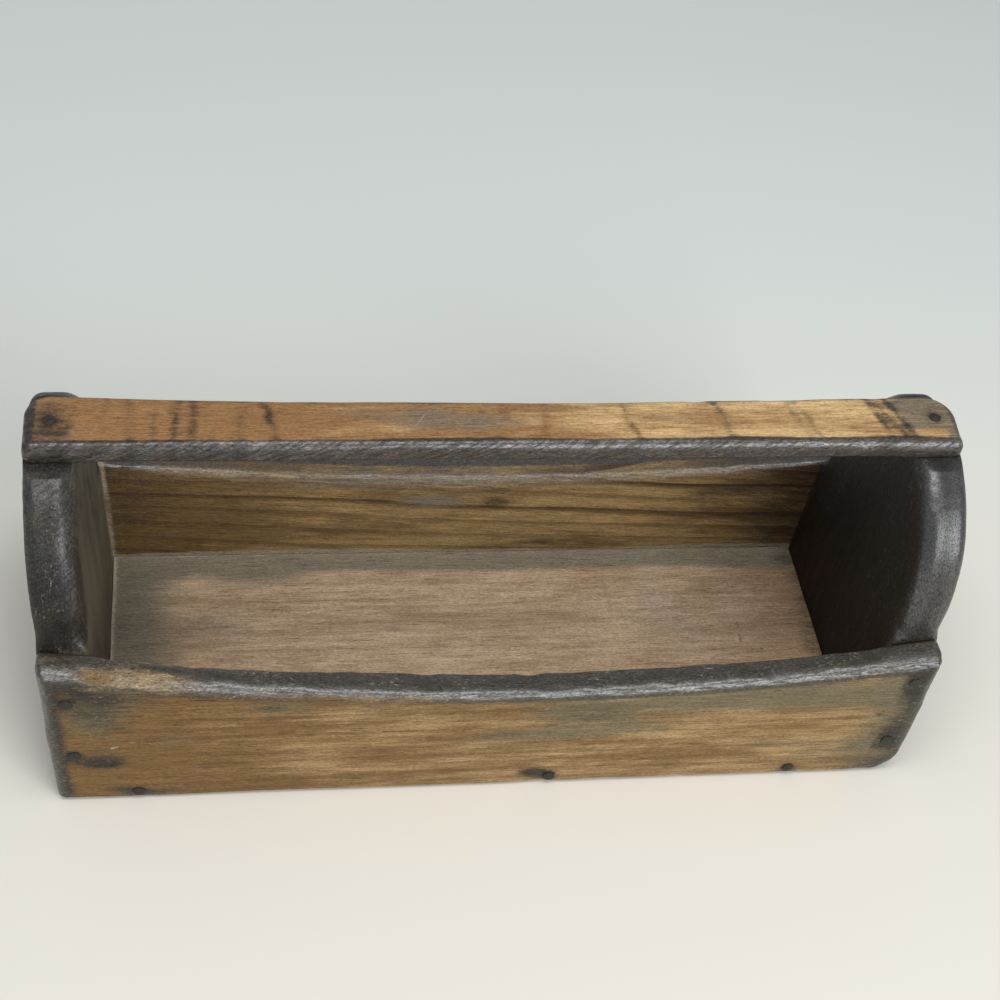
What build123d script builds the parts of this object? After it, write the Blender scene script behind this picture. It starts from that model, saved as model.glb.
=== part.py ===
"""Hand-made wooden tool tote: six boards held together with nails.

Two thick end boards with arched tops lean outwards. A scooped front board and a
scooped back board are nailed over their edges, a thin bottom board lies between
the four sides, and a flat handle board is nailed down on top of the two arches.

Millimetres. X runs along the tote, -Y is the front, +Z is up. The origin lies on
the floor under the middle of the bottom board.
"""

import os
from math import cos, radians, sin, sqrt, tan

from build123d import *

os.makedirs("parts", exist_ok=True)

# ---------------------------------------------------------------- boards
base_length = 457.0  # outside length of the tote, measured on the floor
end_splay = 2.9  # degrees that each end board leans outwards
end_thickness = 25.0
end_width = 144.0  # end boards, front to back, between the side boards
end_height = 178.0  # floor to the flat seat that carries the handle
seat_width = 58.0  # flat on top of each arch, front to back
arch_inner_round = 7.0  # worn arris of the arch on the trough side
arch_outer_round = 6.0  # worn arris of the arch on the outside
foot_round = 2.5  # worn arris where an end board's outer face meets the floor

side_thickness = 17.0  # front and back boards
front_left_height = 104.0
front_middle_height = 78.0
front_right_height = 96.0
back_left_height = 90.0
back_middle_height = 75.0
back_right_height = 88.0
left_corner_round = 5.0  # lower corner of a side board, seen from the front
right_corner_round = 16.0
side_face_round = 3.0  # worn outline of a side board's outer face
side_lip_round = 2.5  # worn top arris of a side board inside the trough
round_tuck = 4.0  # an arch's worn arris dies this far below a side board's top

bottom_thickness = 13.0

handle_width = 38.0
handle_thickness = 11.0
handle_back_hollow = 5.0  # how far the back edge is worn in at mid length
handle_front_corner = 6.0
handle_back_corner = 14.0
handle_top_round = 5.0
handle_under_round = 2.0

# ----------------------------------------------------------------- nails
nail_length = 45.0
nail_shank_radius = 1.5
nail_head_radius = 3.2
nail_head_thickness = 1.2
nail_head_crown = 0.5  # how far the middle of a head stands above the wood
nail_point_length = 5.0
nail_point_radius = 0.4

# Side boards to end boards: one nail low down, one a little below the top edge.
left_low_nail_height = 38.5
right_low_nail_height = 29.0
left_high_nail_drop = 23.5
right_high_nail_drop = 17.0
# Side boards to bottom board: one nail near each end and one near the middle.
left_bottom_nail_inset = 41.5
middle_bottom_nail_offset = 31.0
right_bottom_nail_inset = 62.5
end_nail_inset = 37.0  # end boards to bottom board, in from an end board's edges

# --------------------------------------------------------- derived sizes
LEFT = -1
RIGHT = 1
FRONT = -1
BACK = 1
lean = tan(radians(end_splay))  # sideways run for each millimetre of height
level_thickness = end_thickness / cos(radians(end_splay))
outer_half_length = base_length / 2
inner_half_length = outer_half_length - level_thickness
half_width = end_width / 2
side_face = half_width + side_thickness
arch_centre_height = end_height - sqrt(half_width**2 - (seat_width / 2) ** 2)
handle_top = end_height + handle_thickness
handle_half_length = outer_half_length + end_height * lean


def outer_x(height):
    """Middle of the tote to an end board's outer face, at a height."""
    return outer_half_length + height * lean


def centre_x(height):
    """Middle of the tote to the centre of an end board's edge, at a height."""
    return outer_half_length - level_thickness / 2 + height * lean


# ----------------------------------------------------------------- nails
# Head up and point down; the rim of the head is level with the wood at Z 0.
with BuildPart() as nail:
    with BuildSketch(Plane.XZ):
        with BuildLine():
            TangentArc((0, nail_head_crown), (nail_head_radius, 0), tangent=(1, 0))
            Polyline(
                (nail_head_radius, 0),
                (nail_head_radius, -nail_head_thickness),
                (nail_shank_radius, -nail_head_thickness),
                (nail_shank_radius, nail_point_length - nail_length),
                (nail_point_radius, -nail_length),
                (0, -nail_length),
                (0, nail_head_crown),
            )
        make_face()
    revolve(axis=Axis.Z)


def nail_group(name, places):
    """Separate nails driven square into the wood at each place."""
    with BuildPart() as group:
        with Locations(*places):
            add(nail.part)
    group.part.label = name
    export_step(group.part, f"parts/{name}.step")
    return group.part


def side_place(side, x, height):
    """On the outer face of the front board (side -1) or back board (side 1)."""
    return Plane(origin=(x, side * side_face, height), x_dir=(-side, 0, 0), z_dir=(0, side, 0))


def end_place(side, y, height):
    """On the outer face of an end board."""
    return Plane(origin=(side * outer_x(height), y, height), x_dir=(0, side, 0), z_dir=(side, 0, 0))


def handle_place(side):
    """On top of the handle, over the middle of an end board's seat."""
    return Plane(origin=(side * centre_x(end_height), 0, handle_top), x_dir=(1, 0, 0), z_dir=(0, 0, 1))


def left_nails(name, side, board_height):
    """Nails through a side board into the edge of the left end board."""
    heights = (left_low_nail_height, board_height - left_high_nail_drop)
    return nail_group(name, [side_place(side, LEFT * centre_x(height), height) for height in heights])


def right_nails(name, side, board_height):
    """Nails through a side board into the edge of the right end board."""
    heights = (right_low_nail_height, board_height - right_high_nail_drop)
    return nail_group(name, [side_place(side, RIGHT * centre_x(height), height) for height in heights])


def bottom_nails(name, side):
    """Nails through a side board into the edge of the bottom board."""
    stations = (
        left_bottom_nail_inset - outer_half_length,
        middle_bottom_nail_offset,
        outer_half_length - right_bottom_nail_inset,
    )
    return nail_group(name, [side_place(side, x, bottom_thickness / 2) for x in stations])


def end_nails(name, end):
    """Nails through an end board into the end of the bottom board."""
    stations = (end_nail_inset - half_width, half_width - end_nail_inset)
    return nail_group(name, [end_place(end, y, bottom_thickness / 2) for y in stations])


front_left_nails = left_nails("front_left_nails", FRONT, front_left_height)
front_right_nails = right_nails("front_right_nails", FRONT, front_right_height)
front_bottom_nails = bottom_nails("front_bottom_nails", FRONT)
back_left_nails = left_nails("back_left_nails", BACK, back_left_height)
back_right_nails = right_nails("back_right_nails", BACK, back_right_height)
back_bottom_nails = bottom_nails("back_bottom_nails", BACK)
left_end_nails = end_nails("left_end_nails", LEFT)
right_end_nails = end_nails("right_end_nails", RIGHT)
left_handle_nail = nail_group("left_handle_nail", [handle_place(LEFT)])
right_handle_nail = nail_group("right_handle_nail", [handle_place(RIGHT)])


# ------------------------------------------------------------ end boards
def end_board(name, end, front_height, back_height, nails):
    """A leaning board with an arched top, flat where the handle sits.

    Its plane lies on the inner face: local Y runs up the lean, and local X runs
    from back to front on the left end and from front to back on the right.
    """
    inner_plane = Plane(
        origin=(end * inner_half_length, 0, 0),
        x_dir=(0, end, 0),
        z_dir=(end * cos(radians(end_splay)), 0, -sin(radians(end_splay))),
    )
    outward = Axis(inner_plane.origin, inner_plane.z_dir)
    rise = cos(radians(end_splay))  # height gained for each millimetre up the lean
    front = -end * half_width
    back = end * half_width
    foot = -end_thickness * lean  # drawn below the floor, then cut level with it
    spring = arch_centre_height / rise
    square_front = min(front_height - round_tuck, arch_centre_height) / rise
    square_back = min(back_height - round_tuck, arch_centre_height) / rise

    with BuildPart() as board:
        with BuildSketch(inner_plane):
            with BuildLine():
                Line((back, foot), (front, foot))
                Line((front, foot), (front, spring))
                ThreePointArc((front, spring), (0, spring + half_width), (back, spring))
                Line((back, spring), (back, foot))
            make_face()
        extrude(amount=end_thickness)

        # Both arrises are worn round, but only where no side board covers them.
        fillet(board.faces().sort_by(outward)[0].edges().sort_by(Axis.Z)[1:], arch_inner_round)
        fillet(board.faces().sort_by(outward)[-1].edges().sort_by(Axis.Z)[1:], arch_outer_round)
        with BuildSketch(inner_plane):
            with BuildLine():
                Polyline(
                    (front, foot),
                    (front, square_front),
                    (back, square_back),
                    (back, foot),
                    close=True,
                )
            make_face()
        extrude(amount=end_thickness)

        split(bisect_by=Plane.XY.offset(end_height), keep=Keep.BOTTOM)
        split(bisect_by=Plane.XY, keep=Keep.TOP)
        floor_edges = board.edges().group_by(Axis.Z)[0].sort_by(outward)
        fillet(floor_edges[-1], foot_round)
        for group in nails:
            add(group, mode=Mode.SUBTRACT)
    board.part.label = name
    export_step(board.part, f"parts/{name}.step")
    return board.part


left_end_board = end_board(
    "left_end_board",
    LEFT,
    front_left_height,
    back_left_height,
    [front_left_nails, back_left_nails, left_end_nails, left_handle_nail],
)
right_end_board = end_board(
    "right_end_board",
    RIGHT,
    front_right_height,
    back_right_height,
    [front_right_nails, back_right_nails, right_end_nails, right_handle_nail],
)


# ----------------------------------------------- front and back boards
def side_board(name, side, left_height, middle_height, right_height, nails):
    """A plank whose top edge is worn into one long scoop.

    Its ends follow the lean of the end boards, and its outer face is rounded
    all the way along the outline.
    """
    with BuildPart() as board:
        with BuildSketch(Plane.XZ.offset(-side * half_width)) as outline:
            with BuildLine():
                Polyline(
                    (-outer_x(left_height), left_height),
                    (-outer_half_length, 0),
                    (outer_half_length, 0),
                    (outer_x(right_height), right_height),
                )
                ThreePointArc(
                    (-outer_x(left_height), left_height),
                    (0, middle_height),
                    (outer_x(right_height), right_height),
                )
            make_face()
            fillet(outline.vertices().group_by(Axis.Y)[0].sort_by(Axis.X)[-1], right_corner_round)
            fillet(outline.vertices().group_by(Axis.Y)[0].sort_by(Axis.X)[0], left_corner_round)
        extrude(amount=-side * side_thickness)

        across = Axis((0, 0, 0), (0, side, 0))
        fillet(board.faces().sort_by(across)[-1].edges(), side_face_round)
        inner_edges = board.faces().sort_by(across)[0].edges()
        fillet(inner_edges.sort_by(Axis.Z)[-1], side_lip_round)
        for group in nails:
            add(group, mode=Mode.SUBTRACT)
    board.part.label = name
    export_step(board.part, f"parts/{name}.step")
    return board.part


front_board = side_board(
    "front_board",
    FRONT,
    front_left_height,
    front_middle_height,
    front_right_height,
    [front_left_nails, front_right_nails, front_bottom_nails],
)
back_board = side_board(
    "back_board",
    BACK,
    back_left_height,
    back_middle_height,
    back_right_height,
    [back_left_nails, back_right_nails, back_bottom_nails],
)

# ---------------------------------------------------------- bottom board
# It fills the space between the four sides, level with their lower edges.
bottom_top_half_length = inner_half_length + bottom_thickness * lean
with BuildPart() as bottom_board:
    with BuildSketch(Plane.XZ):
        with BuildLine():
            Polyline(
                (-inner_half_length, 0),
                (inner_half_length, 0),
                (bottom_top_half_length, bottom_thickness),
                (-bottom_top_half_length, bottom_thickness),
                close=True,
            )
        make_face()
    extrude(amount=half_width, both=True)
    for group in (front_bottom_nails, back_bottom_nails, left_end_nails, right_end_nails):
        add(group, mode=Mode.SUBTRACT)
bottom_board.part.label = "bottom_board"
export_step(bottom_board.part, "parts/bottom_board.step")

# ---------------------------------------------------------- handle board
# It lies flat on both arches, and its back edge is hollowed by years of hands.
with BuildPart() as handle_board:
    with BuildSketch(Plane.XY.offset(end_height)) as outline:
        with BuildLine():
            Polyline(
                (-handle_half_length, handle_width / 2),
                (-handle_half_length, -handle_width / 2),
                (handle_half_length, -handle_width / 2),
                (handle_half_length, handle_width / 2),
            )
            ThreePointArc(
                (-handle_half_length, handle_width / 2),
                (0, handle_width / 2 - handle_back_hollow),
                (handle_half_length, handle_width / 2),
            )
        make_face()
        fillet(outline.vertices().group_by(Axis.Y)[-1], handle_back_corner)
        fillet(outline.vertices().group_by(Axis.Y)[0], handle_front_corner)
    extrude(amount=handle_thickness)
    fillet(handle_board.faces().sort_by(Axis.Z)[-1].edges(), handle_top_round)
    fillet(handle_board.faces().sort_by(Axis.Z)[0].edges(), handle_under_round)
    for group in (left_handle_nail, right_handle_nail):
        add(group, mode=Mode.SUBTRACT)
handle_board.part.label = "handle_board"
export_step(handle_board.part, "parts/handle_board.step")
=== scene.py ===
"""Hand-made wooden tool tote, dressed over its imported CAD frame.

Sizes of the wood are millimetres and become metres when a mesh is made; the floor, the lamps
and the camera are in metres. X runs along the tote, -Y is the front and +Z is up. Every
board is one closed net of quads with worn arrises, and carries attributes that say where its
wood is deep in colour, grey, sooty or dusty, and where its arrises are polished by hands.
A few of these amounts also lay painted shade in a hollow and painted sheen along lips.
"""

import bpy
import numpy as np
from math import radians, tan

from mathutils import Matrix


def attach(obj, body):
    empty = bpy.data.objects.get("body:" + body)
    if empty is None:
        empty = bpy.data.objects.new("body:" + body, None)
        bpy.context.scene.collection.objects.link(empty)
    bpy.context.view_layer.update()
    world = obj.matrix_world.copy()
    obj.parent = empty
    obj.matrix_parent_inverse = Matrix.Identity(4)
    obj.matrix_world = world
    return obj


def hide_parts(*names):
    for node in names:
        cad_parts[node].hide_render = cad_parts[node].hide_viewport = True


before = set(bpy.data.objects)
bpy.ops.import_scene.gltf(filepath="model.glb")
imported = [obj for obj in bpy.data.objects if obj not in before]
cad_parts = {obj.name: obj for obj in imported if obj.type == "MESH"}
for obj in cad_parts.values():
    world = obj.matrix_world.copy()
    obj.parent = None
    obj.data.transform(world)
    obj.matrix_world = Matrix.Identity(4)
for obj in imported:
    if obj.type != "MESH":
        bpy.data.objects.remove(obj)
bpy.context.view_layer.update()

# ---------------------------------------------------------------- end boards
# Two thick planks stand at the ends and lean outwards. Their tops are sawn to an arch whose
# arrises are worn round and black with handling; inside, the left one is grey and dusty, and
# the right one nearly black. A small hollow in the left arch's front edge is painted black as
# its shade. Nails through the side boards and the bottom hold them.
MILLIMETRE = 0.001
LEAN = tan(radians(2.9))  # sideways run for each millimetre of height
INNER_HALF_LENGTH = 203.47  # middle of the tote to an end board's inner face, at the floor
END_THICKNESS = 25.03
HALF_WIDTH = 72.0  # the end boards and the bottom, front to back
SEAT_HEIGHT = 178.0
SEAT_HALF_WIDTH = 29.0
ARCH_CENTRE_HEIGHT = SEAT_HEIGHT - (HALF_WIDTH**2 - SEAT_HALF_WIDTH**2) ** 0.5
SIDE_TOPS = {"left": (104.0, 90.0), "right": (96.0, 88.0)}  # front board, back board
SHOULDER_WEAR = {"left": 2.0, "right": 5.5}  # off the back of each arch
FOOT_SCOOP_DEPTH = 2.2


def drawn_to_ends(count, pull):
    """Numbers from 0 to 1 that crowd towards both: t less pull times sin(2 pi t) over 2 pi."""
    even = np.linspace(0, 1, count + 1)
    return even - pull * np.sin(2 * np.pi * even) / (2 * np.pi)


def eased(value, low, high):
    """0 at low and 1 at high, with a smooth start and end: t squared times (3 - 2t)."""
    part = np.clip((value - low) / (high - low), 0, 1)
    return part * part * (3 - 2 * part)


def bell(distance, reach):
    """1 at no distance and less with more: exp(-(distance over reach) squared)."""
    return np.exp(-((distance / reach) ** 2))


def soft_noise(places, size, seed):
    """Smooth noise from -1 to 1: a fixed random number at each corner of boxes of a size,
    blended between the eight corners round a place with eased weights."""
    cell = places / np.asarray(size, float)
    corner = np.floor(cell)
    part = cell - corner
    part = part * part * (3 - 2 * part)
    total = np.zeros(len(places))
    for step in np.ndindex(2, 2, 2):
        weight = np.where(np.array(step) == 1, part, 1 - part).prod(axis=1)
        draw = np.sin((corner + step) @ (127.1, 311.7, 74.7) + seed * 53.3) * 43758.5453
        total += weight * (2 * (draw - np.floor(draw)) - 1)
    return total


def blots(across, up, spots, warp):
    """Soft ellipses added up: strength times exp(-(distance over radius) squared)."""
    total = np.zeros(len(across))
    for centre_across, centre_up, radius_across, radius_up, strength in spots:
        span = (across - centre_across) / radius_across
        rise = (up - centre_up) / radius_up
        total += strength * np.exp(-np.clip(span**2 + rise**2 + warp, 0, None))
    return total


def nearest_on_rim(across, up):
    """For each place of a net: its depth inside the outline, the way in, and the rim place.

    The outline is the net's own rim. The depth is measured square to the outline at the
    nearest rim place, whose way in is its tangent turned by a quarter.
    """
    loop = [(net[:, 0], net[-1, 1:], net[-2::-1, -1], net[0, -2:0:-1]) for net in (across, up)]
    rim = np.stack([np.concatenate(sides) for sides in loop], axis=1)
    tangent = np.roll(rim, -1, axis=0) - np.roll(rim, 1, axis=0)
    inward = np.stack([-tangent[:, 1], tangent[:, 0]], axis=1)
    inward /= np.linalg.norm(inward, axis=1, keepdims=True)
    places = np.stack([across.ravel(), up.ravel()], axis=1)
    nearest = np.concatenate([
        np.argmin(((block[:, None] - rim[None]) ** 2).sum(axis=2), axis=1)
        for block in np.array_split(places, 24)
    ])
    depth = np.clip(((places - rim[nearest]) * inward[nearest]).sum(axis=1), 0, None)
    return depth, inward[nearest], rim[nearest]


def worn_board(
    name, across, up, thickness, layers, place, arris_radius, relief, marks, outline=nearest_on_rim
):
    """A closed board with worn arrises over a net of places across and up its face.

    A node that is nearer than the arris radius to both faces of an arris moves along the
    line to the point one radius inside both, until it is one radius from that point. The
    relief then pushes each node further in, the same way.
    """
    through = thickness * drawn_to_ends(layers, 0.75)
    shape = (*across.shape, len(through))
    i, j, k = np.indices(shape)
    last = [length - 1 for length in shape]
    shown = (i % last[0] == 0) | (j % last[1] == 0) | (k % last[2] == 0)
    number = np.full(shape, -1)
    number[shown] = np.arange(shown.sum())
    i, j, k = i[shown], j[shown], k[shown]

    flat = i * shape[1] + j
    depth, inward, rim = (found[flat] for found in outline(across, up))
    on_rim = (i % last[0] == 0) | (j % last[1] == 0)
    far = through[k] > thickness / 2
    under = np.where(far, thickness - through[k], through[k])
    radius = arris_radius(rim[:, 0], rim[:, 1], far)
    to_rim = np.clip(radius - depth, 0, None)
    to_face = np.clip(radius - under, 0, None)
    rounded = (to_rim > 0) & (to_face > 0) & (np.hypot(to_rim, to_face) >= radius)
    reach = np.where(rounded, np.hypot(to_rim, to_face), 1)
    way_in = np.where(rounded, to_rim / reach, on_rim)
    way_down = np.where(rounded, to_face / reach, ~on_rim)
    moved_depth = np.where(rounded, radius - radius * way_in, depth)
    moved_under = np.where(rounded, radius - radius * way_down, under)

    site = np.stack([across[i, j], up[i, j], through[k]], axis=1)
    push = relief(site, depth, under, far)
    moved_depth += push * way_in
    moved_under += push * way_down
    in_plane = site[:, :2] + inward * (moved_depth - depth)[:, None]
    level = np.where(far, thickness - moved_under, moved_under)
    points = np.stack(place(in_plane[:, 0], in_plane[:, 1], level), axis=1) * MILLIMETRE

    ends = (number[0].T, number[-1])
    edges = (number[:, 0], number[:, -1].T)
    faces = (number[:, :, 0].T, number[:, :, -1])
    quads = np.concatenate([
        np.stack([net[:-1, :-1], net[1:, :-1], net[1:, 1:], net[:-1, 1:]], axis=2).reshape(-1, 4)
        for net in ends + edges + faces
    ])
    first, second, third = (points[quads[:, corner]] for corner in (0, 1, 2))
    if (first * np.cross(second, third)).sum() < 0:
        quads = quads[:, ::-1]
    mesh = bpy.data.meshes.new(name)
    mesh.from_pydata(points, [], quads)
    mesh.shade_smooth()
    arris = bell(depth, 5) * bell(under, 14)
    for mark, amount in {"arris": arris, **marks(site, depth, under, far)}.items():
        attribute = mesh.attributes.new(mark, "FLOAT", "POINT")
        attribute.data.foreach_set("value", np.clip(amount, 0, 1))
    board = bpy.data.objects.new(name, mesh)
    bpy.context.collection.objects.link(board)
    return board


def put(tree, kind, inputs=None, **settings):
    """One shader node; each input takes a plain value or another node's output."""
    node = tree.nodes.new("ShaderNode" + kind)
    for setting, choice in settings.items():
        setattr(node, setting, choice)
    for socket, value in (inputs or {}).items():
        if isinstance(value, bpy.types.NodeSocket):
            tree.links.new(value, node.inputs[socket])
        else:
            node.inputs[socket].default_value = value
    return node


def maths(tree, operation, first, second=0.0, third=0.0):
    """The output of one Math node."""
    return put(tree, "Math", {0: first, 1: second, 2: third}, operation=operation).outputs[0]


def times(tree, first, second):
    """One value times another."""
    return maths(tree, "MULTIPLY", first, second)


def weighed(tree, start, *parts):
    """A value plus each further value times its weight."""
    for value, weight in parts:
        start = maths(tree, "MULTIPLY_ADD", value, weight, start)
    return start


def blend(tree, amount, below, above, mode="MIX"):
    """The colour above laid over the colour below by an amount."""
    inputs = {0: amount, 6: below, 7: above}
    return put(tree, "Mix", inputs, data_type="RGBA", blend_type=mode).outputs[2]


def stretch(tree, value, low, high, to_low=0.0, to_high=1.0):
    """A value carried from one range to another, held inside it, with eased ends."""
    inputs = {0: value, 1: low, 2: high, 3: to_low, 4: to_high}
    return put(tree, "MapRange", inputs, interpolation_type="SMOOTHSTEP").outputs[0]


def noise(tree, vector, scale, detail=2.0, rough=0.5):
    """Noise whose cells are 1 / scale metres long in X, Y and Z."""
    mapped = put(tree, "Mapping", {0: vector, 3: scale}).outputs[0]
    inputs = {"Vector": mapped, "Scale": 1.0, "Detail": detail, "Roughness": rough}
    return put(tree, "TexNoise", inputs).outputs[0]


def swing(tree, *settings):
    """Noise less a half, so that it goes to both sides of 0."""
    return maths(tree, "SUBTRACT", noise(tree, *settings), 0.5)


def new_group(name, inputs, outputs):
    """An empty shader node group with named sockets: its tree, its inputs and its output node."""
    tree = bpy.data.node_groups.new(name, "ShaderNodeTree")
    kinds = {"f": "NodeSocketFloat", "c": "NodeSocketColor", "v": "NodeSocketVector"}
    for socket, kind in inputs.items():
        tree.interface.new_socket(socket, in_out="INPUT", socket_type=kinds[kind])
    for socket, kind in outputs.items():
        tree.interface.new_socket(socket, in_out="OUTPUT", socket_type=kinds[kind])
    start = tree.nodes.new("NodeGroupInput")
    end = tree.nodes.new("NodeGroupOutput")
    return tree, start.outputs, end


def finish_group(tree, end, results):
    """Links the results to the group's outputs by name."""
    for socket, value in results.items():
        tree.links.new(value, end.inputs[socket])
    return tree


def rgb(red, green, blue):
    """A linear colour with full opacity."""
    return (red, green, blue, 1.0)


RING_TILT = 0.6  # how far the growth rings move across, for each length through the board
RING_RIPPLE = 0.0016  # metres


def make_grain():
    """Softwood grain along X: growth rings across Y, long fibres, broad streaks and pores.

    A ring darkens slowly and ends sharply: the fraction of (across + wave) over the spacing.
    """
    tree, given, end = new_group(
        "wood grain",
        {"Vector": "v", "Ring Spacing": "f", "Ring Wave": "f"},
        {"Ring": "f", "Fibre": "f", "Streak": "f", "Pore": "f"},
    )
    vector = given["Vector"]
    apart = put(tree, "SeparateXYZ", {0: vector}).outputs
    wave = swing(tree, vector, (5, 16, 16), 1.5)
    ripple = swing(tree, vector, (30, 240, 240), 2)
    across = weighed(
        tree, apart[1], (wave, given["Ring Wave"]), (apart[2], RING_TILT), (ripple, RING_RIPPLE)
    )
    turns = maths(tree, "DIVIDE", across, given["Ring Spacing"])
    part = maths(tree, "FRACT", turns)
    late = times(tree, stretch(tree, part, 0.5, 0.93), stretch(tree, part, 1.0, 0.955))
    draw = put(tree, "TexWhiteNoise", {"W": maths(tree, "FLOOR", turns)}, noise_dimensions="1D")
    ring = times(tree, late, stretch(tree, draw.outputs[0], 0.0, 1.0, 0.35, 1.0))
    fibre = noise(tree, vector, (60, 1400, 1400), 4, 0.7)
    streak = noise(tree, vector, (16, 360, 360), 4, 0.65)
    pore = stretch(tree, noise(tree, vector, (75, 1500, 1500), 2), 0.6, 0.74)
    return finish_group(tree, end, {"Ring": ring, "Fibre": fibre, "Streak": streak, "Pore": pore})


def make_ragged_mark():
    """A painted amount broken up along the grain, with speckles at its border."""
    tree, given, end = new_group(
        "ragged mark", {"Vector": "v", "Amount": "f", "Raggedness": "f"}, {"Mask": "f"}
    )
    torn = swing(tree, given["Vector"], (60, 340, 340), 4, 0.65)
    speck = swing(tree, given["Vector"], (700, 1200, 1200), 2)
    edge = weighed(tree, torn, (speck, 0.6))
    amount = weighed(tree, given["Amount"], (edge, given["Raggedness"]))
    return finish_group(tree, end, {"Mask": stretch(tree, amount, 0.08, 0.92)})


# Painted shade: the near black laid where a hollow is shaded.
PAINTED_HOLLOW_SHADE = rgb(0.004, 0.004, 0.0035)


def make_aged_wood(grain_group, mark_group):
    """Old wood by layers: bare wood with its grain, then grey, then soot, then pale dust.

    Soot is pitted and polished by hands, most at an arris, so it glints; dust is dull, and on
    a few lips its pale colour also stands for a painted sheen. Where the deep amount goes far
    past 1, the colour is painted black as the shade in a hollow, and loses its polish.
    """
    tree, given, end = new_group(
        "aged wood",
        {
            "Vector": "v", "Pale Wood": "c", "Deep Wood": "c", "Ring Colour": "c", "Grey": "c",
            "Soot": "c", "Soot Fleck": "c", "Dust": "c", "Ring Spacing": "f", "Ring Wave": "f",
            "Ring Strength": "f", "Fibre Strength": "f", "Deep Amount": "f", "Grey Amount": "f",
            "Soot Amount": "f", "Dust Amount": "f", "Arris": "f",
        },
        {"Color": "c", "Roughness": "f", "Height": "f", "Polish": "f"},
    )
    vector = given["Vector"]
    inputs = {socket: given[socket] for socket in ("Vector", "Ring Spacing", "Ring Wave")}
    grain = put(tree, "Group", inputs, node_tree=grain_group).outputs

    def mark(amount, raggedness):
        """A ragged mask from one of the painted amounts."""
        inputs = {"Vector": vector, "Amount": given[amount], "Raggedness": raggedness}
        return put(tree, "Group", inputs, node_tree=mark_group).outputs["Mask"]

    cloud = noise(tree, vector, (16, 75, 75), 4, 0.65)
    short = noise(tree, vector, (520, 1500, 1500), 3, 0.75)
    tone = weighed(tree, times(tree, cloud, 1.2), (grain["Streak"], 0.5))
    tone = maths(tree, "ADD", stretch(tree, tone, 0.5, 1.2), given["Deep Amount"])
    wood = blend(tree, stretch(tree, tone, 0.0, 1.1), given["Pale Wood"], given["Deep Wood"])
    ring = times(tree, grain["Ring"], given["Ring Strength"])
    wood = blend(tree, ring, wood, given["Ring Colour"])
    fibre = maths(tree, "SUBTRACT", grain["Fibre"], 0.5)
    grit = maths(tree, "SUBTRACT", short, 0.5)
    fine = times(tree, given["Fibre Strength"], 1.5)
    shade = weighed(
        tree, 1.05, (fibre, given["Fibre Strength"]), (grit, fine), (grain["Pore"], -0.3)
    )
    grey = mark("Grey Amount", 0.6)
    soot = mark("Soot Amount", 0.9)
    dust = mark("Dust Amount", 1.1)
    wood = blend(tree, times(tree, grey, 0.88), wood, given["Grey"])
    fleck = stretch(tree, noise(tree, vector, (420, 900, 900), 3, 0.75), 0.53, 0.72)
    patch = stretch(tree, noise(tree, vector, (45, 110, 110), 4, 0.65), 0.36, 0.68, 0.06, 1.0)
    black = blend(tree, times(tree, fleck, patch), given["Soot"], given["Soot Fleck"])
    brown = stretch(tree, noise(tree, vector, (90, 260, 260), 3), 0.48, 0.75, 0.0, 0.12)
    black = blend(tree, brown, black, given["Deep Wood"])
    # Painted shade: far past 1, the deep amount lays a hollow's black shade and takes off polish.
    hollow_shade = stretch(tree, given["Deep Amount"], 0.8, 1.4)
    black = blend(tree, hollow_shade, black, PAINTED_HOLLOW_SHADE)
    wood = blend(tree, times(tree, soot, 0.97), wood, black)
    wood = blend(tree, times(tree, dust, 0.85), wood, given["Dust"])
    tint = put(tree, "CombineXYZ", {0: shade, 1: shade, 2: shade}).outputs[0]
    colour = blend(tree, 1.0, wood, tint, "MULTIPLY")

    smooth = times(tree, soot, maths(tree, "SUBTRACT", 1.0, dust))
    smooth = times(tree, smooth, maths(tree, "SUBTRACT", 1.0, hollow_shade))
    pitted = noise(tree, vector, (380, 720, 720), 3, 0.65)
    polish = times(tree, smooth, stretch(tree, short, 0.36, 0.62, 0.3, 1.0))
    handled = weighed(tree, 0.08, (given["Arris"], 0.92))
    polish = times(tree, polish, handled)
    rough = weighed(tree, 0.62, (smooth, -0.1), (polish, -0.14), (grit, 0.7), (dust, 0.25))
    crust = weighed(tree, 0.3, (soot, 2.0))
    height = weighed(
        tree, grain["Fibre"], (grain["Pore"], -0.6), (ring, 0.35), (short, 0.5), (pitted, crust),
        (cloud, 1.0),
    )
    return finish_group(
        tree, end, {"Color": colour, "Roughness": rough, "Height": height, "Polish": polish}
    )


def make_scratch():
    """A thin line between two places: how near a place is to it, from 0 to 1 at the line.

    The nearest point of the line is From plus the way along it, held between the two ends.
    """
    tree, given, end = new_group(
        "scratch", {"Vector": "v", "From": "v", "To": "v", "Width": "f"}, {"Mask": "f"}
    )

    def vectors(operation, first, second):
        """One Vector Math node."""
        return put(tree, "VectorMath", {0: first, 1: second}, operation=operation)

    run = vectors("SUBTRACT", given["To"], given["From"]).outputs[0]
    wobble = times(tree, swing(tree, given["Vector"], (120, 120, 120), 2), 0.0016)
    reach = vectors("SUBTRACT", given["Vector"], given["From"]).outputs[0]
    along = vectors("DOT_PRODUCT", reach, run).outputs["Value"]
    whole = vectors("DOT_PRODUCT", run, run).outputs["Value"]
    part = put(tree, "Math", {0: along, 1: whole}, operation="DIVIDE", use_clamp=True).outputs[0]
    foot = put(tree, "VectorMath", {0: run, "Scale": part}, operation="SCALE").outputs[0]
    away = maths(tree, "ADD", vectors("DISTANCE", reach, foot).outputs["Value"], wobble)
    mask = stretch(tree, away, given["Width"], 0.0)
    return finish_group(tree, end, {"Mask": mask})


scratch_group = make_scratch()
aged_wood_group = make_aged_wood(make_grain(), make_ragged_mark())

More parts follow.
